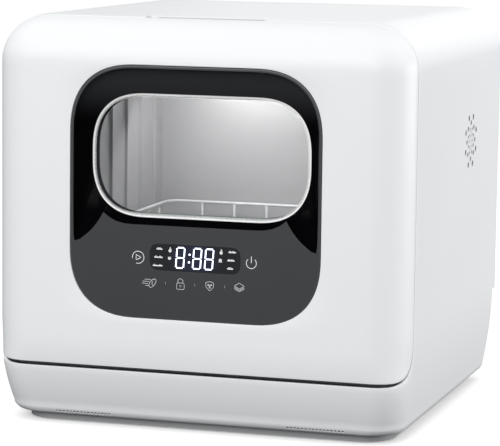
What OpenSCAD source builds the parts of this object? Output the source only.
// Countertop dishwasher with a drop-down door, a sliding rack and a turning spray arm.
// Origin: centre of the footprint, at the level that the feet stand on.
// X runs to the right seen from the front, Y runs back, Z runs up.
// A depth "v" is measured back from the front face; fy(v) turns it into a Y value.

/* [Body] */
// Overall width of the cabinet
body_w = 420; // [400:1:510]
// Overall depth, door included
body_d = 420; // [400:1:510]
// Overall height, feet included
body_h = 402; // [396:1:490]
// Wall of the casing and of the door shell
shell_t = 2.8; // [2.2:0.1:3.4]
// Radius of the two long top edges
top_r = 46; // [36:1:50]
// Radius of the upright front edges
plan_r = 40; // [32:1:44]
// Radius of the top front edge
brow_r = 44; // [34:1:48]
// Radius of the rear edges
rear_r = 10; // [6:1:14]

/* [Lower body] */
// Height where the sides start to lean inwards
side_taper_z = 110; // [90:1:130]
// Radius of the leaning stretch of the sides
side_taper_r = 460; // [400:10:700]
// Height where the front starts to lean inwards
front_taper_z = 90; // [80:1:100]
// Radius of the leaning stretch of the front
front_taper_r = 163; // [150:1:240]
// Height of the casing's lower face above the floor
base_z = 8; // [7:0.5:10]
// Radius where the casing turns under
base_r = 10; // [6:1:12]
// Depth of the step in the lower rear
recess_d = 20; // [16:1:24]
// Height of the step in the lower rear
recess_h = 99; // [94:1:112]

/* [Door] */
// Depth of the door from the front face to the seam
door_depth = 34; // [33:0.5:38]
// Width of the upright seam
seam_gap = 1; // [0.6:0.1:1.4]
// Height of the apron's top edge
apron_top = 59.2; // [56:0.1:60]
// Gap between the apron and the door's lower edge
door_gap = 3.8; // [3:0.1:4.4]
// Radius of the door's lower rear corner, seen from the side
seam_r = 26; // [22:1:28]
// Depth of the hinge axis behind the front face
hinge_v = 12; // [11:0.5:13]
// Height of the hinge axis
hinge_z = 73.5; // [73:0.1:76]
// Radius of the hinge pins
hinge_pin_r = 3; // [2.4:0.1:3.6]
// Radial clearance of a turning fit
run_gap = 0.05; // [0.02:0.01:0.09]
// Thickness of the hinge plates
hinge_t = 3; // [2.4:0.1:3.6]

/* [Front panel] */
// Width of the black panel
panel_w = 252; // [230:1:300]
// Height of the black panel
panel_h = 244; // [220:1:246]
// Corner radius of the black panel
panel_r = 57; // [44:1:62]
// Distance from the top of the body to the panel
panel_drop = 45; // [44:1:54]
// Thickness of the black panel
panel_t = 2.8; // [2.2:0.1:3]
// Width of the window
win_w = 222; // [190:1:226]
// Height of the window
win_h = 121.6; // [100:0.2:124]
// Corner radius of the window
win_r = 47; // [36:1:50]
// Distance from the panel's top edge to the window
win_drop = 27.6; // [25:0.2:32]
// Depth of the window pane behind the front face
win_v = 21; // [18:0.5:22]
// Thickness of each pane
pane_t = 2.4; // [2:0.1:2.8]
// Width of the display window
disp_w = 91; // [76:1:110]
// Height of the display window
disp_h = 24.6; // [20:0.2:30]
// Height of the display's centre above the panel's lower edge
disp_up = 61; // [56:1:66]

/* [Tub and rack] */
// Space between the tub and the casing at each side
side_space = 40; // [38:1:44]
// Wall of the tub
tub_t = 2; // [1.6:0.1:2.6]
// Height of the tub's inner floor
floor_z = 82; // [80:0.5:84]
// Distance from the top of the body to the tub's inner roof
roof_drop = 38; // [36:1:44]
// Space between the tub and the rear panel
rear_space = 30; // [28:1:40]
// Radius of the rack's wires
wire_r = 1.8; // [1.4:0.1:2.1]
// Height of the rack's floor wires
rack_z = 110; // [109:0.5:112]
// Height of the rack's rim above its floor
rack_h = 72; // [60:1:90]
// Height of the plate tines above the rack's floor
tine_h = 58; // [44:1:70]
// Distance between rows of tines
tine_pitch = 26; // [22:1:30]
// Distance from the rack's front to the door liner
rack_back = 30; // [28:1:36]
// Width of the cutlery basket
basket_w = 52; // [44:1:60]
// Depth of the cutlery basket
basket_d = 128; // [100:1:132]
// Height of the cutlery basket
basket_h = 84; // [70:1:100]

/* [Water system] */
// Radius of the sump
sump_r = 48; // [44:1:52]
// Height of the sump's lower face
sump_z = 30; // [28:1:34]
// Height of the pump axes
pump_z = 46; // [44:1:48]
// Radius of the wash pump housing
wash_r = 29; // [26:1:31]
// Radius of the drain pump housing
drain_r = 21; // [19:1:24]
// Radius of the hoses
hose_r = 8; // [6.5:0.5:8.5]
// Width of the spray arm at its hub
arm_w = 36; // [32:1:44]
// Thickness of the spray arm
arm_t = 8; // [6.5:0.5:8]
// Radius of the spigot that carries the spray arm
spigot_r = 10; // [9:0.5:11]
// Radius of the water inlet's thread
inlet_r = 13.2; // [12:0.1:15]
// Radius of the drain spout
spout_r = 8; // [7:0.1:10]
// Radius of the cord gland's bore
gland_r = 4; // [3:0.1:5]

/* [Side vent] */
// Depth of the vent's centre behind the front face
vent_v = 270; // [255:1:285]
// Height of the vent's centre
vent_z = 271; // [255:1:285]
// Radius of the drying fan's bore
fan_r = 28; // [25:0.5:30]

/* [Hidden] */
$fn = 48;

hull_fn = 32;
fit_gap = 0.3;                       // clearance between pieces that are fitted together
white = "#eef0f1";
black = "#17181a";
grey = "#9a9da0";
pale = "#c9cccf";
steel = "#b9bcc0";
rubber = "#3a3c3f";
blue = "#a9b8c4";

rear_y = body_d/2;
half_w = body_w/2;
inner_hw = half_w - shell_t;
door_back = door_depth - seam_gap/2;
case_front = door_depth + seam_gap/2;
door_low = apron_top + door_gap;
frame_v = case_front + 3.5;          // front face of the front frame
frame_t = 3;
tub_front = frame_v + frame_t;
tub_hw = half_w - side_space - shell_t;
tub_in_hw = tub_hw - tub_t;
tub_roof = body_h - roof_drop;
tub_back = body_d - rear_space - tub_t;
mouth_hw = tub_in_hw - 3;
mouth_low = floor_z + 18;
mouth_top = tub_roof - 8;
mouth_r = 24;
liner_back = door_back - fit_gap;
liner_t = 2.5;
liner_front = liner_back - liner_t;
panel_z = body_h - panel_drop - panel_h/2;
win_z = body_h - panel_drop - win_drop - win_h/2;
disp_z = body_h - panel_drop - panel_h + disp_up;
panel_v = 0.6;
ledge_v = panel_v + panel_t + 0.2;
ledge_t = 2.6;
foot_front = 29;
foot_r = 30;
foot_hw = half_w - 23;
foot_back = body_d - recess_d - 10;
tray_top = base_z + shell_t + 0.2;
tray_low = 1.5;
tray_t = 2.5;
tray_lip = 5.6 - shell_t;              // reach of the tray's flange over the casing's floor
arm_v = (tub_front + tub_back)/2;    // depth of the spray arm's axis
arm_r = min(tub_in_hw, (tub_back - tub_front)/2) - 19;
arm_z = floor_z + 8;
sump_v = arm_v - 84;
rack_front = liner_back + rack_back;
rack_rear = tub_back - 18;
rack_hw = tub_in_hw - 15;
recess_hw = 62;                      // half width of the finger recess
recess_v = case_front + 13.5;
lock_v = 60;
tongue_z = tub_roof + 10;

function fy(v) = v - body_d/2;
function taper(z, z0, r) = z < z0 ? pow(z0 - z, 2)/(2*r) : 0;

// Inset and height of a wall that leans in below z0 and turns under, from the top down
function flank(t, z0, r, n = 8, m = 5) =
    let (zc = base_z + t + base_r, inset = taper(zc, z0, r) + t)
    concat([[t, body_h + 10], [t, z0]],
           [for (i = [1:n]) let (z = z0 - (z0 - zc)*i/n) [taper(z, z0, r) + t, z]],
           [for (i = [1:m]) [inset + base_r*(1 - cos(90*i/m)), zc - base_r*sin(90*i/m)]]);
function reversed(list) = [for (i = [len(list) - 1:-1:0]) list[i]];

// Extrudes a drawing of [y, z] along X
module yz_prism(x0, x1) {
    translate([x0, 0, 0]) rotate([90, 0, 90]) linear_extrude(x1 - x0) children();
}

// Extrudes a drawing of [x, z] along Y
module xz_prism(y0, y1) {
    translate([0, y1, 0]) rotate([90, 0, 0]) linear_extrude(y1 - y0) children();
}

// Cylinder along X from x0 to x1
module rod_x(x0, x1, y, z, r) {
    translate([x0, y, z]) rotate([0, 90, 0]) cylinder(h = x1 - x0, r = r);
}

// Cylinder along Y from y0 to y1
module rod_y(x, y0, y1, z, r) {
    translate([x, y1, z]) rotate([90, 0, 0]) cylinder(h = y1 - y0, r = r);
}

// Box between two corners
module block(a, b) {
    translate(a) cube(b - a);
}

// Centred rectangle with round corners
module rounded(w, h, r) {
    square([w - 2*r, h], center = true);
    square([w, h - 2*r], center = true);
    for (sx = [-1, 1], sy = [-1, 1])
        translate([sx*(w/2 - r), sy*(h/2 - r)]) circle(r);
}

// Plate of a rounded rectangle that faces the front, between two depths
module plate(w, h, r, z, v0, v1) {
    translate([0, 0, z]) xz_prism(fy(v0), fy(v1)) rounded(w, h, r);
}

module both_sides() {
    children();
    mirror([1, 0, 0]) children();
}

// Outline of the body seen from the front
module front_outline(t) {
    side = flank(t, side_taper_z, side_taper_r);
    r = top_r - t;
    intersection() {
        union() {
            translate([t - half_w, 0]) square([body_w - 2*t, body_h - top_r]);
            translate([top_r - half_w, 0]) square([body_w - 2*top_r, body_h - t]);
            for (s = [-1, 1]) translate([s*(half_w - top_r), body_h - top_r]) circle(r);
        }
        polygon(concat([for (p = side) [half_w - p[0], p[1]]],
                       reversed([for (p = side) [p[0] - half_w, p[1]]])));
    }
}

// Outline of the body seen from the side
module side_outline(t) {
    front = flank(t, front_taper_z, front_taper_r);
    intersection() {
        union() {
            translate([fy(t), 0]) square([body_d - 2*t, body_h - brow_r]);
            translate([fy(brow_r), 0]) square([body_d - brow_r - rear_r, body_h - t]);
            translate([fy(brow_r), 0]) square([body_d - brow_r - t, body_h - rear_r]);
            translate([fy(brow_r), body_h - brow_r]) circle(brow_r - t);
            translate([rear_y - rear_r, body_h - rear_r]) circle(rear_r - t);
        }
        polygon(concat([for (p = front) [fy(p[0]), p[1]]],
                       [[rear_y - t, base_z + t], [rear_y - t, body_h + 10]]));
    }
}

// Outline of the body seen from above
module plan_outline(t) {
    translate([plan_r - half_w, fy(t)]) square([body_w - 2*plan_r, body_d - 2*t]);
    translate([t - half_w, fy(plan_r)]) square([body_w - 2*t, body_d - plan_r - rear_r]);
    translate([rear_r - half_w, fy(plan_r)]) square([body_w - 2*rear_r, body_d - plan_r - t]);
    for (s = [-1, 1]) {
        translate([s*(half_w - plan_r), fy(plan_r)]) circle(plan_r - t);
        translate([s*(half_w - rear_r), rear_y - rear_r]) circle(rear_r - t);
    }
}

// The whole body's outer form, set in by t
module body_form(t) {
    intersection() {
        xz_prism(-body_d, body_d) front_outline(t);
        yz_prism(-body_w, body_w) side_outline(t);
        linear_extrude(body_h) plan_outline(t);
    }
}

// The door's share of the side view, with its round lower rear corner
module door_zone(back, low, r) {
    translate([fy(-20), low]) square([back - r + 20, body_h]);
    translate([fy(-20), low + r]) square([back + 20, body_h]);
    translate([fy(back - r), low + r]) circle(r);
}

// Outline of the foot tray, grown by g
module foot_outline(g) {
    translate([0, (fy(foot_front) + fy(foot_back))/2])
        rounded(2*(foot_hw + g), foot_back - foot_front + 2*g, foot_r + g);
}

// Round tube or rod swept along route points given as [x, v, z]
module hose(route, r, sides = 10) {
    n = len(route);
    pts = [for (p = route) [p[0], fy(p[1]), p[2]]];
    dirs = [for (i = [0:n - 1]) let (d = pts[min(i + 1, n - 1)] - pts[max(i - 1, 0)]) d/norm(d)];
    skew = [0.36, 0.48, 0.8];            // parallel to no stretch of any hose
    u = [for (d = dirs) let (c = cross(skew, d)) c/norm(c)];
    rings = [for (i = [0:n - 1], k = [0:sides - 1])
        let (w = cross(dirs[i], u[i]), a = 360*k/sides) pts[i] + r*(cos(a)*u[i] + sin(a)*w)];
    walls = [for (i = [0:n - 2], k = [0:sides - 1]) let (m = (k + 1) % sides)
        [i*sides + k, (i + 1)*sides + k, (i + 1)*sides + m, i*sides + m]];
    caps = [[for (k = [0:sides - 1]) k],
            [for (k = [sides - 1:-1:0]) (n - 1)*sides + k]];
    polyhedron(rings, concat(walls, caps));
}

// ---- Cabinet -------------------------------------------------------------

vent_ring = [[7, 4], [14.5, 8], [22, 12]];   // radius and number of slots
vent_slot = 3.2;
apron_holes = 16;
apron_pitch = 3.65;
apron_hole_r = 0.9;
apron_row_x = 91;
apron_row_z = 14;
lip = 14;                             // width of the casing's rear lip
screw_r = 1.6;
rear_screws = [for (s = [-1, 1], z = [recess_h + 40, body_h/2 + 40, body_h - 74])
               [s*(half_w - 10.5), z]];

// Rings of short slots that make up the side vent, cut along X
module vent_slots(x0, x1) {
    translate([0, fy(vent_v), vent_z]) {
        rod_x(x0, x1, 0, 0, 2);
        for (ring = vent_ring, i = [0:ring[1] - 1]) rotate([360*(i + 0.5)/ring[1], 0, 0])
            translate([x0, -ring[0]*0.19, ring[0] - vent_slot/2])
                cube([x1 - x0, ring[0]*0.38, vent_slot]);
    }
}

module outer_casing() color(white) difference() {
    body_form(0);
    body_form(shell_t);
    yz_prism(-body_w, body_w) door_zone(case_front, apron_top, seam_r + 2);
    block([-body_w, rear_y - recess_d, -1], [body_w, rear_y + 1, recess_h]);
    translate([0, 0, (recess_h + body_h - lip)/2 - 10])
        xz_prism(rear_y - shell_t - 1, rear_y + 1)
            rounded(body_w - 2*lip, body_h - lip - recess_h + 20, 20);
    translate([0, 0, -1]) linear_extrude(base_z + shell_t + 2) foot_outline(0.4);
    block([-recess_hw, fy(door_depth), body_h - 9], [recess_hw, fy(recess_v), body_h + 1]);
    vent_slots(inner_hw - 1, half_w + 1);
    for (s = [-1, 1], i = [0:apron_holes - 1])
        rod_y(s*(apron_row_x + apron_pitch*i), fy(0), fy(foot_front + 6), apron_row_z,
              apron_hole_r);
    for (p = rear_screws) {
        rod_y(p[0], rear_y - shell_t - 1, rear_y + 1, p[1], screw_r + 0.2);
        rod_y(p[0], rear_y - 1.6, rear_y + 1, p[1], screw_r + 1.8);
    }
}

// Step-shaped rear panel with a stepped foot, the hose ports and the louvres
port_z = 46;
drain_x = 62;
inlet_x = -62;
gland_x = 150;
low_rear = rear_y - recess_d;
louvre_x = -105;
louvre_z = 180;

module rear_panel() color(white) difference() {
    t = 2.4;
    a = rear_y - shell_t - 0.2;
    union() {
        intersection() {
            body_form(shell_t + fit_gap);
            yz_prism(-body_w, body_w)
                polygon([[a - t, body_h], [a, body_h], [a, recess_h], [low_rear, recess_h],
                         [low_rear, tray_top + fit_gap], [low_rear - t, tray_top + fit_gap],
                         [low_rear - t, recess_h + t], [a - t, recess_h + t]]);
        }
        intersection() {
            translate([0, 0, (recess_h + body_h - lip)/2 - 10])
                xz_prism(a - 0.5, rear_y - 0.4)
                    rounded(body_w - 2*lip - 0.6, body_h - lip - recess_h + 19.4, 19.7);
            block([-body_w, 0, recess_h], [body_w, body_d, body_h]);
        }
    }
    rod_y(drain_x, low_rear - 9, low_rear + 1, port_z, spout_r + 0.2);
    rod_y(inlet_x, low_rear - 9, low_rear + 1, port_z, inlet_r + 0.2);
    rod_y(gland_x, low_rear - 9, low_rear + 1, port_z, gland_r + 4.2);
    for (i = [0:9]) block([louvre_x - 45, rear_y - 9, louvre_z + 6*i],
                          [louvre_x + 45, rear_y + 1, louvre_z + 6*i + 2.4]);
    for (p = rear_screws) rod_y(p[0], a - t - 1, a + 1, p[1], screw_r + 0.02);
}

module bottom_tray() color(grey) difference() {
    union() {
        translate([0, 0, tray_low]) linear_extrude(tray_top - tray_low) foot_outline(0);
        translate([0, 0, tray_top]) linear_extrude(tray_t) foot_outline(tray_lip);
    }
    translate([0, 0, tray_low + tray_t]) linear_extrude(tray_top + tray_t) foot_outline(-tray_t);
    feet_at(tray_low - 1, tray_low + 1.2, 11.3);
}

module feet_at(z0, z1, r) {
    for (sx = [-1, 1], v = [foot_front + foot_r, foot_back - foot_r])
        translate([sx*(foot_hw - foot_r), fy(v), z0]) cylinder(h = z1 - z0, r = r);
}

module rubber_feet() color(rubber) feet_at(0, tray_low + 1.2, 11);

// Frame that closes the space between the casing and the tub's mouth
module front_frame() color(pale) difference() {
    intersection() {
        body_form(shell_t + fit_gap);
        union() {
            block([-body_w, fy(frame_v), 52], [body_w, fy(tub_front), body_h]);
            block([-body_w, fy(8), 52], [body_w, fy(frame_v + 1), 54.4]);
        }
    }
    plate(2*mouth_hw, mouth_top - mouth_low, mouth_r, (mouth_top + mouth_low)/2,
          frame_v - 1, tub_front + 1);
    block([-recess_hw - 2, fy(frame_v - 1), body_h - 17.2],
          [recess_hw + 2, fy(tub_front + 1), body_h]);
    block([-6.5, fy(frame_v - 1), tongue_z - 3], [6.5, fy(tub_front + 1), tongue_z + 8]);
}

module finger_recess() color(white) difference() {
    block([-recess_hw - 1.6, fy(case_front + 0.3), body_h - 16.8],
          [recess_hw + 1.6, fy(recess_v + 1.6), body_h - 4.2]);
    block([-recess_hw, fy(case_front - 1), body_h - 15.2], [recess_hw, fy(recess_v), body_h]);
}

// ---- Tub -----------------------------------------------------------------

rib_t = 3;
lamp_v = 104;
rib_step = 46;

module tub() color(pale) difference() {
    union() {
        difference() {
            block([-tub_hw, fy(tub_front), floor_z - tub_t],
                  [tub_hw, fy(tub_back + tub_t), tub_roof + tub_t]);
            block([-tub_in_hw, fy(tub_front - 1), floor_z], [tub_in_hw, fy(tub_back), tub_roof]);
        }
        both_sides() for (v = [tub_front + 40:rib_step:tub_back - 20])
            block([tub_in_hw - rib_t, fy(v), floor_z + 36], [tub_in_hw + 1, fy(v + 5), tub_roof + 1]);
    }
    translate([0, fy(sump_v), floor_z - 9]) cylinder(h = 20, r = sump_r - 3);
    translate([0, fy(arm_v), floor_z - 9]) cylinder(h = 20, r = spigot_r + 2.1);
    rod_x(tub_hw - 9, tub_hw + 1, fy(vent_v), vent_z, fan_r - 6);
    block([-30, fy(lamp_v - 8), tub_roof - 1], [30, fy(lamp_v + 8), tub_roof + 9]);
    translate([float_x, fy(float_v), floor_z - 9]) cylinder(h = 20, r = 4.02);
}

module tub_gasket() color(rubber) difference() {
    w = 2*mouth_hw;
    h = mouth_top - mouth_low;
    z = (mouth_top + mouth_low)/2;
    plate(w + 26, h + 16, mouth_r + 8, z, liner_back + 0.4, frame_v);
    plate(w + 10, h + 4, mouth_r + 2, z, liner_back - 1, frame_v + 1);
}

rail_w = tub_in_hw - rack_hw + 1;
rail_top = rack_z - wire_r - 0.7;

module rack_rails() color(pale) both_sides()
    block([tub_in_hw - rail_w, fy(tub_front + 18), rail_top - 5],
          [tub_in_hw, fy(tub_back - 6), rail_top]);

filter_r = 24;

module sump() color(pale) translate([0, fy(sump_v), 0]) difference() {
    union() {
        translate([0, 0, sump_z]) cylinder(h = floor_z - tub_t - sump_z, r = sump_r);
        translate([0, 0, floor_z - tub_t - 3]) cylinder(h = 3, r = sump_r + 9);
    }
    translate([0, 0, sump_z + 3]) cylinder(h = floor_z, r = sump_r - 3);
    rod_x(-sump_r - 1, 0, 0, pump_z, 7);
    rod_x(0, sump_r + 1, 0, pump_z, 5);
    for (s = [-1, 1]) translate([s*heater_pin_x, -heater_r, 0]) cylinder(h = 60, r = 3.6);
    rotate([0, 0, -90]) rod_x(0, sump_r + 1, 0, port_z + 18, 5);
}

heater_r = 36;
heater_pin_x = 10;
heater_z = sump_z + 14;

module heating_element() color(steel) translate([0, fy(sump_v), 0]) difference() {
    union() {
        translate([0, 0, heater_z]) rotate_extrude() translate([heater_r, 0]) circle(3.5);
        for (s = [-1, 1]) translate([s*heater_pin_x, -heater_r, sump_z - 8])
            cylinder(h = heater_z - sump_z + 8, r = 3.5);
    }
    block([4 - heater_pin_x, -heater_r - 6, heater_z - 6],
          [heater_pin_x - 4, -heater_r + 6, heater_z + 6]);
}

module filter_screen() color(steel) translate([0, fy(sump_v), floor_z - 1.6]) difference() {
    cylinder(h = 1.6, r = sump_r - 3.3);
    translate([0, 0, -1]) cylinder(h = 4, r = filter_r + 0.3);
    for (a = [0:30:330]) rotate([0, 0, a]) translate([filter_r + 9, 0, -1]) cylinder(h = 4, r = 3);
}

module filter_cup() color(pale) translate([0, fy(sump_v), 0]) difference() {
    union() {
        translate([0, 0, sump_z + 8]) cylinder(h = floor_z - sump_z - 7, r = filter_r);
        translate([0, 0, floor_z + 0.2]) cylinder(h = 1.6, r = filter_r + 3);
        block([-filter_r, -1.5, floor_z + 0.2], [filter_r, 1.5, floor_z + 5]);
    }
    difference() {
        translate([0, 0, sump_z + 10]) cylinder(h = 60, r = filter_r - 2);
        block([-filter_r, -1.5, floor_z + 1], [filter_r, 1.5, floor_z + 5]);
    }
    for (a = [0:45:135]) rotate([0, 0, a]) block([-40, -3, sump_z + 14], [40, 3, floor_z - 18]);
}

// Pipe that feeds the spray arm, with its side inlet and its spigot
riser_z = pump_z + 15;

module spray_riser() color(pale) translate([0, fy(arm_v), 0]) difference() {
    union() {
        translate([0, 0, riser_z - 13]) cylinder(h = floor_z - riser_z + 13, r = spigot_r + 2);
        translate([0, 0, floor_z]) cylinder(h = 2.2, r = spigot_r + 8);
        translate([0, 0, floor_z]) cylinder(h = arm_z - floor_z - 0.4, r = spigot_r + 4);
        translate([0, 0, floor_z]) cylinder(h = arm_z - floor_z + arm_t + 6.4, r = spigot_r);
        rod_x(-30, 0, 0, riser_z, hose_r + 1);
    }
    translate([0, 0, riser_z]) cylinder(h = arm_z - riser_z + 5, r = spigot_r - 3);
    rod_x(-31, 0, 0, riser_z, hose_r - 2);
    for (a = [0, 90]) rotate([0, 0, a]) rod_x(-20, 20, 0, arm_z + arm_t/2, 2.4);
}

module arm_nut() color(grey) translate([0, fy(arm_v), arm_z + arm_t + 0.4]) difference() {
    cylinder(h = 5, r = spigot_r + 4);
    translate([0, 0, -1]) cylinder(h = 8, r = spigot_r + 0.02);
}

// ---- Pumps and hoses -------------------------------------------------------

wash_x1 = -sump_r - 18;               // face of the wash pump housing beside the sump
wash_x0 = wash_x1 - 24;
motor_r = 25;
outlet_v = sump_v + 42;

module wash_pump_housing() color(grey) difference() {
    union() {
        rod_x(wash_x0, wash_x1, fy(sump_v), pump_z, wash_r);
        rod_x(wash_x1, -sump_r - 0.2, fy(sump_v), pump_z, 10);
        rod_y(wash_x0 + 12, fy(sump_v), fy(outlet_v), riser_z, hose_r + 1);
        block([wash_x0 + 4, fy(sump_v) - 18, tray_low + tray_t + 0.2],
              [wash_x0 + 10, fy(sump_v) + 18, pump_z - 15]);
    }
    rod_x(wash_x0 + 3, wash_x1 - 3, fy(sump_v), pump_z, wash_r - 3);
    rod_x(wash_x1 - 4, 0, fy(sump_v), pump_z, 7);
    rod_y(wash_x0 + 12, fy(sump_v), fy(outlet_v) + 1, riser_z, hose_r - 2);
    rod_x(wash_x0 - 1, wash_x0 + 4, fy(sump_v), pump_z, 4);
}

module wash_pump_motor() color(steel) {
    rod_x(wash_x0 - 62, wash_x0 - 0.2, fy(sump_v), pump_z, motor_r);
    rod_x(wash_x0 - 68, wash_x0 - 62, fy(sump_v), pump_z, 9);
    rod_x(wash_x0 - 0.2, wash_x0 + 16, fy(sump_v), pump_z, 2.5);
    block([wash_x0 - 52, fy(sump_v) - 18, tray_low + tray_t + 0.2],
          [wash_x0 - 46, fy(sump_v) + 18, pump_z - 15]);
}

// Vaned wheel along X between x0 and x1
module impeller(x0, x1, z, r, bore, vanes) {
    translate([x0, fy(sump_v), z]) difference() {
        union() {
            rod_x(0, 2, 0, 0, r);
            rod_x(0, x1 - x0, 0, 0, bore + 3.5);
            for (i = [0:vanes - 1]) rotate([360*i/vanes, 0, 0])
                block([0, -1, bore + 1], [x1 - x0 - 3, 1, r - 0.5]);
        }
        rod_x(-1, x1 - x0 + 1, 0, 0, bore);
    }
}

module wash_impeller() color(black)
    impeller(wash_x0 + 4.5, wash_x0 + 15, pump_z, wash_r - 5, 2.5 + run_gap, 6);

drain_x0 = sump_r + 10;
drain_x1 = drain_x0 + 18;

module drain_pump_housing() color(grey) difference() {
    union() {
        rod_x(drain_x0, drain_x1, fy(sump_v), pump_z, drain_r);
        rod_x(sump_r + 0.2, drain_x0, fy(sump_v), pump_z, 8);
        rod_y(drain_x, fy(sump_v), fy(outlet_v - 8), port_z + 12, hose_r);
        block([drain_x0 + 8, fy(sump_v) - 12, tray_low + tray_t + 0.2],
              [drain_x0 + 13, fy(sump_v) + 12, pump_z - 13]);
    }
    rod_x(drain_x0 + 2.5, drain_x1 - 2.5, fy(sump_v), pump_z, drain_r - 2.5);
    rod_x(0, drain_x0 + 3, fy(sump_v), pump_z, 5);
    rod_y(drain_x, fy(sump_v), fy(outlet_v), port_z + 12, 3);
    rod_x(drain_x1 - 4, drain_x1 + 1, fy(sump_v), pump_z, 3);
}

module drain_pump_motor() color(steel) {
    rod_x(drain_x1 + 0.2, drain_x1 + 42, fy(sump_v), pump_z, drain_r - 5);
    rod_x(drain_x0 + 4, drain_x1 + 0.2, fy(sump_v), pump_z, 2);
    block([drain_x1 + 28, fy(sump_v) - 10, tray_low + tray_t + 0.2],
          [drain_x1 + 34, fy(sump_v) + 10, pump_z - 10]);
}

module drain_impeller() color(black) mirror([1, 0, 0])
    impeller(-drain_x1 + 4.5, -drain_x1 + 13, pump_z, drain_r - 4.5, 2 + run_gap, 4);

module wash_hose() color(black)
    hose([[wash_x0 + 12, outlet_v + 0.2, riser_z], [wash_x0 + 12, arm_v - 24, riser_z],
          [wash_x0 + 14, arm_v - 12, riser_z], [wash_x0 + 20, arm_v - 4, riser_z],
          [wash_x0 + 30, arm_v, riser_z], [-42, arm_v, riser_z], [-30.2, arm_v, riser_z]], hose_r);

spout_in = body_d - recess_d - 16;    // depth of the inner ends of the rear fittings

module drain_hose() color(black)
    hose([[drain_x, outlet_v - 7.8, port_z + 12], [drain_x, outlet_v + 30, port_z + 12],
          [drain_x, arm_v + 60, port_z + 8], [drain_x, arm_v + 100, port_z + 2],
          [drain_x, spout_in - 30, port_z], [drain_x, spout_in - 0.2, port_z]], hose_r - 1);

module drain_spout() color(grey) difference() {
    union() {
        rod_y(drain_x, fy(spout_in), low_rear + 1, port_z, spout_r - 0.6);
        rod_y(drain_x, low_rear + fit_gap, low_rear + 18, port_z, spout_r);
        rod_y(drain_x, low_rear - 5.6, low_rear - 2.6, port_z, spout_r + 5);
    }
    rod_y(drain_x, fy(spout_in) - 1, low_rear + 19, port_z, spout_r - 2);
}

module inlet_valve() color(blue) difference() {
    union() {
        rod_y(inlet_x, low_rear - 6, low_rear + 1, port_z, inlet_r - 0.6);
        rod_y(inlet_x, low_rear + fit_gap, low_rear + 14, port_z, inlet_r);
        block([inlet_x - 17, low_rear - 44, port_z - 16], [inlet_x + 17, low_rear - 2.6, port_z + 16]);
        rod_x(inlet_x - 30, inlet_x - 17, low_rear - 30, port_z, hose_r);
        translate([inlet_x, low_rear - 26, port_z + 15]) cylinder(h = 16, r = 12);
    }
    rod_y(inlet_x, low_rear - 8, low_rear + 15, port_z, inlet_r - 3);
    rod_x(inlet_x - 31, inlet_x - 14, low_rear - 30, port_z, hose_r - 3);
}

tank_x = -half_w + shell_t + 0.6;     // outer face of the tank
tank_w = side_space - 4;
tank_z = side_taper_z + 4;
tank_top = tub_roof - 14;
tank_port_x = tank_x + tank_w/2;

module water_tank() color(blue, 0.6) difference() {
    union() {
        translate([tank_port_x, fy(220), tank_z]) linear_extrude(tank_top - tank_z)
            rounded(tank_w, 310, 8);
        for (v = [80, 350]) translate([tank_port_x, fy(v), tank_z - 10]) cylinder(h = 12, r = hose_r);
    }
    translate([tank_port_x, fy(220), tank_z + 2]) linear_extrude(tank_top - tank_z - 4)
        rounded(tank_w - 4, 306, 6);
    for (v = [80, 350]) translate([tank_port_x, fy(v), tank_z - 11]) cylinder(h = 16, r = hose_r - 2);
    translate([tank_port_x, fy(220), tank_top - 4]) cylinder(h = 6, r = 5);
}

module tank_hoses() color(black) {
    hose([[inlet_x - 30.2, 370, port_z], [-120, 370, port_z], [-158, 370, port_z + 2],
          [tank_port_x + 8, 366, port_z + 8], [tank_port_x + 2, 356, port_z + 20],
          [tank_port_x, 350, port_z + 36], [tank_port_x, 350, tank_z - 10.2]], hose_r - 1);
    hose([[tank_port_x, 80, tank_z - 10.2], [tank_port_x, 80, 84], [tank_port_x + 4, 78, 72],
          [tank_port_x + 16, 74, 65], [-130, 68, port_z + 18], [-40, 68, port_z + 18],
          [-12, 68, port_z + 18], [-4, 70, port_z + 18], [0, 75, port_z + 18],
          [0, sump_v - sump_r - 0.3, port_z + 18]],
         hose_r - 2);
}

float_x = tub_in_hw - 33;
float_v = tub_front + 30;
float_lift = 6;                       // height the water lifts the float

module float_guide() color(pale) translate([float_x, fy(float_v), 0]) {
    translate([0, 0, floor_z - 12]) cylinder(h = 28 + float_lift, r = 4);
    translate([0, 0, floor_z - 12]) cylinder(h = 12 - tub_t, r = 9);
}

module overflow_float() color(white) translate([float_x, fy(float_v), floor_z + 1]) difference() {
    cylinder(h = 14, r = 13);
    translate([0, 0, -1]) cylinder(h = 18, r = 4 + run_gap);
    translate([0, 0, -1]) difference() {
        cylinder(h = 12, r = 11.4);
        cylinder(h = 13, r = 6);
    }
}

module interior_lamp() color("#fff8e8") {
    block([-29.7, fy(lamp_v - 7.7), tub_roof - 1], [29.7, fy(lamp_v + 7.7), tub_roof + tub_t]);
    block([-34, fy(lamp_v - 11), tub_roof + tub_t], [34, fy(lamp_v + 11), tub_roof + 9]);
}

// ---- Drying fan and electronics -------------------------------------------

fan_x0 = tub_hw + 3.8;
fan_x1 = fan_x0 + 24;
hub_r = 11;

// Plate across X between x0 and x1, centred on the vent
module vent_plate(x0, x1) {
    yz_prism(x0, x1) translate([fy(vent_v), vent_z]) children();
}

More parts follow.
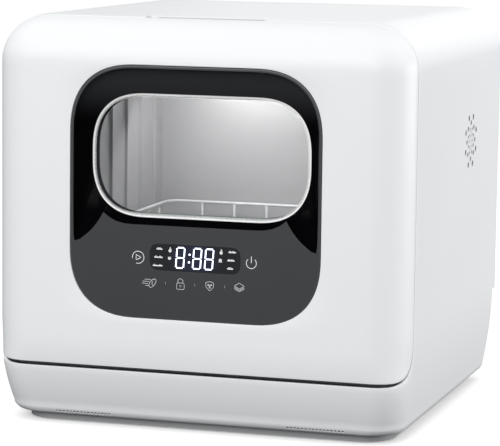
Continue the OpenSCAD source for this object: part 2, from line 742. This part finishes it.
module fan_housing() color(black) difference() {
    union() {
        vent_plate(fan_x0, fan_x1) rounded(2*fan_r + 8, 2*fan_r + 8, 8);
        vent_plate(tub_hw + 0.2, fan_x0) circle(fan_r - 2);
        vent_plate(fan_x1, inner_hw - 0.3) circle(fan_r + 4);
    }
    vent_plate(fan_x0 + 2, fan_x1 - 2) circle(fan_r);
    vent_plate(fan_x0 - 9, fan_x0 + 3) circle(fan_r - 4.5);
    vent_plate(fan_x1 - 3, half_w) circle(fan_r + 1.4);
    for (sy = [-1, 1], sz = [-1, 1])
        rod_x(fan_x0 - 1, fan_x1 + 1, fy(vent_v) + sy*fan_r*0.9, vent_z + sz*fan_r*0.9, 1.8);
}

module fan_motor() color(grey) {
    vent_plate(fan_x1 - 4.4, fan_x1) {
        circle(hub_r);
        for (a = [30:120:270]) rotate(a) translate([0, -2]) square([fan_r - 0.3, 4]);
    }
    rod_x(fan_x0 + 5, fan_x1 - 4, fy(vent_v), vent_z, 1.5);
}

module fan_rotor() color(black) translate([0, fy(vent_v), vent_z]) difference() {
    union() {
        rod_x(fan_x0 + 3, fan_x1 - 5, 0, 0, hub_r);
        for (i = [0:6]) rotate([360*i/7, 0, 0]) translate([(fan_x0 + fan_x1)/2 - 1, 0, 0])
            rotate([0, 0, 38]) block([-7.5, -0.8, hub_r - 1.5], [7.5, 0.8, fan_r - 1.6]);
    }
    rod_x(fan_x0 + 2, fan_x1, 0, 0, 1.5 + run_gap);
}

board_x = tub_hw + 9;
board_v0 = 78;
board_v1 = 212;
board_z0 = 132;
board_z1 = 288;
board_posts = [for (v = [board_v0 + 7, board_v1 - 7], z = [board_z0 + 7, board_z1 - 7]) [v, z]];

module board_carrier() color(pale) {
    block([tub_hw + 0.3, fy(board_v0), board_z0], [tub_hw + 2.3, fy(board_v1), board_z1]);
    for (p = board_posts) rod_x(tub_hw + 2, board_x - 0.1, fy(p[0]), p[1], 3.5);
    for (z = [board_z0, board_z1 - 2])
        block([tub_hw + 1, fy(board_v0), z], [board_x + 8, fy(board_v1), z + 2]);
}

module control_board() color("#3f6b4d") difference() {
    block([board_x, fy(board_v0 + 1), board_z0 + 2.4],
          [board_x + 1.6, fy(board_v1 - 1), board_z1 - 2.4]);
    for (p = board_posts) rod_x(board_x - 1, board_x + 3, fy(p[0]), p[1], 1.6);
}

// Depth, height, length, height and thickness of each component
parts_list = [[98, 262, 30, 24, 20], [98, 222, 30, 30, 22], [142, 256, 24, 26, 16],
              [176, 258, 24, 22, 16], [104, 176, 40, 26, 9], [150, 200, 26, 26, 3],
              [180, 176, 24, 60, 10], [130, 150, 44, 12, 8]];

module board_components() color(black)
    for (p = parts_list)
        translate([board_x + 1.8, fy(p[0]) - p[2]/2 + 8, p[1] - p[3]/2]) cube([p[4], p[2], p[3]]);

module cord_gland() color(black) difference() {
    union() {
        rod_y(gland_x, low_rear - 10, low_rear + 8, port_z, gland_r + 4);
        rod_y(gland_x, low_rear + 0.2, low_rear + 3.2, port_z, gland_r + 7);
        rod_y(gland_x, low_rear - 6, low_rear - 2.6, port_z, gland_r + 7);
    }
    rod_y(gland_x, low_rear - 11, low_rear + 9, port_z, gland_r);
}

// ---- Hinges and lock --------------------------------------------------------

hinge_x = half_w - 45;                // inner face of the cabinet's hinge plates
knuckle_r = 6.5;

module hinge_brackets() color(steel) both_sides() difference() {
    union() {
        yz_prism(hinge_x, hinge_x + hinge_t) {
            translate([fy(hinge_v), hinge_z]) circle(knuckle_r);
            translate([fy(hinge_v), hinge_z - knuckle_r])
                square([frame_v - 0.2 - hinge_v, 2*knuckle_r]);
        }
        block([hinge_x - 14, fy(frame_v - 2.7), hinge_z - 9.5],
              [hinge_x + hinge_t + 14, fy(frame_v - 0.2), hinge_z + 10.5]);
    }
    rod_x(hinge_x - 1, hinge_x + hinge_t + 1, fy(hinge_v), hinge_z, hinge_pin_r + 0.01);
}

module hinge_pins() color(steel) both_sides()
    rod_x(hinge_x - 6, hinge_x + hinge_t + 0.6, fy(hinge_v), hinge_z, hinge_pin_r);

module hinge_arms() color(steel) both_sides() difference() {
    union() {
        yz_prism(hinge_x - 1.5 - hinge_t, hinge_x - 1.5) {
            translate([fy(hinge_v), hinge_z]) circle(knuckle_r);
            translate([fy(hinge_v - knuckle_r), hinge_z]) square([2*knuckle_r, 30]);
            translate([fy(hinge_v - knuckle_r), door_low + seam_r + 3])
                square([liner_front - 0.2 - hinge_v + knuckle_r, 38]);
        }
        block([hinge_x - 1.5 - hinge_t - 12, fy(liner_front - 2.8), door_low + seam_r + 3],
              [hinge_x - 1.5, fy(liner_front - 0.2), door_low + seam_r + 41]);
    }
    rod_x(hinge_x - 9, hinge_x, fy(hinge_v), hinge_z, hinge_pin_r + run_gap);
}

bolt_r = 2.5;
bolt_travel = 5;                      // distance the bolt drops through the tongue
tongue_t = 3;
lock_low = tongue_z - 6;
lock_top = tongue_z + 10.5;

module lock_housing() color(grey) difference() {
    block([-24, fy(tub_front + 0.3), lock_low], [24, fy(lock_v + 18), lock_top]);
    block([-7, fy(tub_front), tongue_z - 3], [7, fy(lock_v + 10), tongue_z + 8]);
    translate([0, fy(lock_v), tongue_z]) cylinder(h = 20, r = bolt_r + run_gap);
}

module lock_solenoid() color(steel) translate([0, fy(lock_v), lock_top + 0.2]) difference() {
    cylinder(h = body_h - shell_t - 0.7 - lock_top, r = 9);
    translate([0, 0, -1]) cylinder(h = 20, r = bolt_r + 0.4);
}

module lock_bolt() color(steel)
    translate([0, fy(lock_v), tongue_z + bolt_travel - 0.4]) cylinder(h = 15.4, r = bolt_r);

module case_screws() color(steel) for (p = rear_screws) {
    rod_y(p[0], rear_y - 7, rear_y - 1.4, p[1], screw_r);
    rod_y(p[0], rear_y - 1.5, rear_y - 0.6, p[1], screw_r + 1.6);
}

// ---- Door ------------------------------------------------------------------

door_screw_at = [for (s = [-1, 1], z = [132, body_h/2 + 40, body_h - 60]) [s*(half_w - 20), z]];
bowl_lip = 0.5;                       // ledge round the opening at the bowl's inner end
win_gap = bowl_lip + 0.2;
bowl_low = win_z - win_h/2 - 11;      // lower edge of the bowl in front of the window
bowl_top = panel_z + panel_h/2 - 3;
bowl_v = win_v - 1.8;
bowl_bands = 5;
trim_t = 1.6;

module door_shell() color(white) difference() {
    union() {
        difference() {
            intersection() {
                body_form(0);
                yz_prism(-body_w, body_w) door_zone(door_back, door_low, seam_r);
            }
            intersection() {
                body_form(shell_t);
                yz_prism(-body_w, body_w) {
                    door_zone(door_back - shell_t, door_low + shell_t, seam_r - shell_t);
                    translate([fy(-20), door_low + seam_r]) square([door_back + 30, body_h]);
                }
            }
        }
        plate(panel_w + 6, panel_h + 6, panel_r + 3, panel_z, 1, ledge_v + ledge_t);
        intersection() {
            body_form(1);
            for (p = door_screw_at) rod_y(p[0], fy(4), fy(liner_front - 0.2), p[1], 4);
        }
    }
    plate(panel_w + 0.6, panel_h + 0.6, panel_r + 0.3, panel_z, -1, ledge_v);
    plate(panel_w - 1.8, panel_h - 1.8, panel_r - 0.9, panel_z, 0, ledge_v + ledge_t + 1);
    both_sides() block([hinge_x - 1, fy(hinge_v - knuckle_r - 0.9), 0],
                       [hinge_x + hinge_t + 1, fy(case_front + 1), hinge_z + knuckle_r + 1.5]);
    for (p = door_screw_at) rod_y(p[0], fy(20), fy(liner_front), p[1], screw_r + 0.02);
}

// Outline of the hollow in front of the window: 0 at its mouth, 1 at the window, grown by g
module bowl_outline(part, g, v) {
    w = panel_w - 6 + (win_w - panel_w + 6)*part + 2*g;
    low = bowl_low + (win_z - win_h/2 - bowl_low)*part - g;
    top = bowl_top + (win_z + win_h/2 - bowl_top)*part + g;
    plate(w, top - low, panel_r - 3 + (win_r - panel_r + 3)*part + g, (top + low)/2, v, v + 0.2);
}

// Hollow in front of the window, steep at its mouth and flat beside the window
module bowl(g, v0, v1) {
    $fn = hull_fn;
    for (i = [0:bowl_bands - 1]) hull() for (t = [i/bowl_bands, (i + 1)/bowl_bands])
        bowl_outline(1 - cos(90*t), g, v0 + (v1 - v0 - 0.2)*t);
}

module front_panel() color(black) difference() {
    union() {
        plate(panel_w, panel_h, panel_r, panel_z, panel_v, panel_v + panel_t);
        bowl(2, panel_v + 0.4, bowl_v + trim_t);
    }
    bowl(0, panel_v - 0.1, bowl_v);
    plate(win_w - 2*bowl_lip, win_h - 2*bowl_lip, win_r - bowl_lip, win_z, bowl_v - 1, win_v + 1);
    plate(disp_w + 0.4, disp_h + 0.4, 8.2, disp_z, panel_v - 1, panel_v + 0.8);
}

module display_lens() color("#26282b")
    plate(disp_w, disp_h, 8, disp_z, panel_v, panel_v + 0.75);

module window_trim() color(white) difference() {
    plate(win_w - 2*win_gap, win_h - 2*win_gap, win_r - win_gap, win_z, bowl_v, bowl_v + trim_t);
    plate(win_w - 6.6, win_h - 6.6, win_r - 3.3, win_z, bowl_v - 1, win_v);
}

module window_glass() color("#30383c", 0.5)
    plate(win_w + 5, win_h + 5, win_r + 2.5, win_z, win_v, win_v + pane_t);

module window_tunnel() color(black) difference() {
    plate(win_w + 8, win_h + 8, win_r + 4, win_z, win_v + pane_t + 0.2, liner_front - 0.2);
    plate(win_w - 2, win_h - 2, win_r - 1, win_z, win_v, liner_front + 1);
}

module inner_glass() color("#30383c", 0.5)
    plate(win_w + 4, win_h + 4, win_r + 2, win_z, liner_front, liner_front + pane_t);

module door_liner() color(pale) difference() {
    intersection() {
        body_form(shell_t + fit_gap);
        block([-body_w, fy(liner_front), door_low + seam_r + 0.4], [body_w, fy(liner_back), body_h]);
    }
    plate(win_w + 4.4, win_h + 4.4, win_r + 2.2, win_z, liner_front - 1, liner_back + 1);
    for (p = door_screw_at) {
        rod_y(p[0], fy(liner_front - 1), fy(liner_back + 1), p[1], screw_r + 0.2);
        rod_y(p[0], fy(liner_back - 1.6), fy(liner_back + 1), p[1], screw_r + 1.8);
    }
}

module display_module() color(black)
    plate(disp_w + 1, disp_h + 1.4, 1, disp_z, panel_v + panel_t + 0.2, 12);

module touch_board() color("#3f6b4d")
    plate(200, 48, 2, disp_z - 4, 12.2, 13.8);

module door_tongue() color(steel) difference() {
    union() {
        block([-14, fy(liner_back + 0.1), tongue_z - 3], [14, fy(liner_back + 2), tongue_z + 9]);
        block([-5, fy(liner_back + 1), tongue_z], [5, fy(lock_v + 8), tongue_z + tongue_t]);
    }
    block([-bolt_r - 0.7, fy(lock_v) - bolt_r - 0.7, tongue_z - 1],
          [bolt_r + 0.7, fy(lock_v) + bolt_r + 0.7, tongue_z + tongue_t + 1]);
}

module door_screws() color(steel) for (p = door_screw_at) {
    rod_y(p[0], fy(20.4), fy(liner_back - 1.4), p[1], screw_r);
    rod_y(p[0], fy(liner_back - 1.5), fy(liner_back - 0.2), p[1], screw_r + 1.6);
}

// ---- Rack, basket and spray arm ---------------------------------------------

side_x = rack_hw - wire_r;
rim_z = rack_z + rack_h;
cross_z = rack_z + 2.4;               // height of the floor's cross wires
cross_r = wire_r - 0.2;
post_r = wire_r - 0.3;
tine_v = 232;                         // depth of the first row of tines
tine_rows = 5;
basket_x = rack_hw - 6 - basket_w/2;
front_v = rack_front + wire_r;
back_v = rack_rear - wire_r;
cross_v = concat([for (i = [1:4]) front_v + 37*i], [for (i = [0:2:4]) tine_v + tine_pitch*(i + 0.5)]);

module wire_frame(z) {
    for (v = [front_v, back_v]) rod_x(-side_x - wire_r, side_x + wire_r, fy(v), z, wire_r);
    both_sides() rod_y(side_x, fy(front_v - 0.6), fy(back_v + 0.6), z, wire_r - 0.1);
}

module dish_rack() color(steel) {
    wire_frame(rack_z);
    wire_frame(rim_z);
    for (x = [-3:3]) rod_y(x*37, fy(front_v - 0.5), fy(back_v + 0.5), rack_z, cross_r);
    for (v = cross_v) rod_x(-side_x, side_x, fy(v), cross_z, cross_r);
    both_sides() for (i = [1:7])
        translate([side_x, fy(front_v + (back_v - front_v)*i/8), rack_z])
            cylinder(h = rack_h, r = post_r);
    for (v = [front_v, back_v], i = [-3:3])
        translate([18.5 + 37*(i - 0.5), fy(v), rack_z]) cylinder(h = rack_h, r = post_r - 0.1);
    both_sides() block([side_x - 3, fy(front_v + 8), rail_top + 0.3],
                       [side_x + 6.5, fy(back_v - 8), rail_top + 3.6]);
}

tine_x0 = -rack_hw + 12;
tine_x1 = basket_x - basket_w/2 - 8;
tine_z = rack_z + wire_r + 2;

module plate_tines() color(steel) for (row = [0:tine_rows - 1]) {
    v = tine_v + tine_pitch*row;
    rod_x(tine_x0, tine_x1, fy(v), tine_z, cross_r);
    for (i = [0:8]) translate([tine_x0 + 6 + (tine_x1 - tine_x0 - 12)*i/8, fy(v), tine_z])
        cylinder(h = rack_z + tine_h - tine_z, r = post_r);
}

basket_v = rack_front + 9 + basket_d/2;
basket_z = cross_z + cross_r + 0.3;
cell_d = (basket_d - 8)/3;

module cutlery_basket() color(grey) difference() {
    translate([basket_x, fy(basket_v), basket_z])
        linear_extrude(basket_h) rounded(basket_w, basket_d, 8);
    for (sx = [-1, 1], i = [-1:1])
        translate([basket_x + sx*(basket_w/4 - 0.5), fy(basket_v) + i*(cell_d + 2), basket_z + 2])
            linear_extrude(basket_h) rounded(basket_w/2 - 3, cell_d, 5);
    for (k = [0:9], z = [basket_z + 12, basket_z + basket_h/2 + 4])
        block([basket_x - basket_w, fy(basket_v) - basket_d/2 + 12 + k*(basket_d - 28)/9, z],
              [basket_x - basket_w/2 + 4,
               fy(basket_v) - basket_d/2 + 16 + k*(basket_d - 28)/9, z + basket_h/2 - 14]);
}

module spray_arm() color(grey) translate([0, fy(arm_v), arm_z]) difference() {
    union() {
        cylinder(h = arm_t, r = arm_w/2);
        for (s = [0, 180]) rotate([0, 0, s + 24]) {
            linear_extrude(arm_t - 1) polygon([[0, -arm_w/2 + 2], [arm_r - 11, -10.5],
                                               [arm_r - 11, 10.5], [0, arm_w/2 - 2]]);
            translate([arm_r - 11, 0, 0]) cylinder(h = arm_t - 1, r = 11);
        }
    }
    translate([0, 0, -1]) cylinder(h = 20, r = spigot_r + run_gap);
    for (s = [0, 180], i = [0:4]) rotate([0, 0, s + 24])
        translate([40 + i*(arm_r - 58)/4, i % 2 == 0 ? 3 : -4, arm_t - 4]) cylinder(h = 9, r = 1.4);
}

// ---- Selection -------------------------------------------------------------

outer_casing();
rear_panel();
bottom_tray();
rubber_feet();
front_frame();
finger_recess();
tub();
tub_gasket();
rack_rails();
sump();
filter_screen();
filter_cup();
spray_riser();
arm_nut();
heating_element();
wash_pump_housing();
wash_pump_motor();
wash_hose();
drain_pump_housing();
drain_pump_motor();
drain_hose();
drain_spout();
inlet_valve();
water_tank();
tank_hoses();
float_guide();
interior_lamp();
fan_housing();
fan_motor();
board_carrier();
control_board();
board_components();
cord_gland();
hinge_brackets();
hinge_pins();
lock_housing();
lock_solenoid();
lock_bolt();
case_screws();
door_shell();
front_panel();
display_lens();
window_trim();
window_glass();
window_tunnel();
inner_glass();
door_liner();
display_module();
touch_board();
hinge_arms();
door_tongue();
door_screws();
dish_rack();
plate_tines();
cutlery_basket();
spray_arm();
wash_impeller();
drain_impeller();
fan_rotor();
overflow_float();
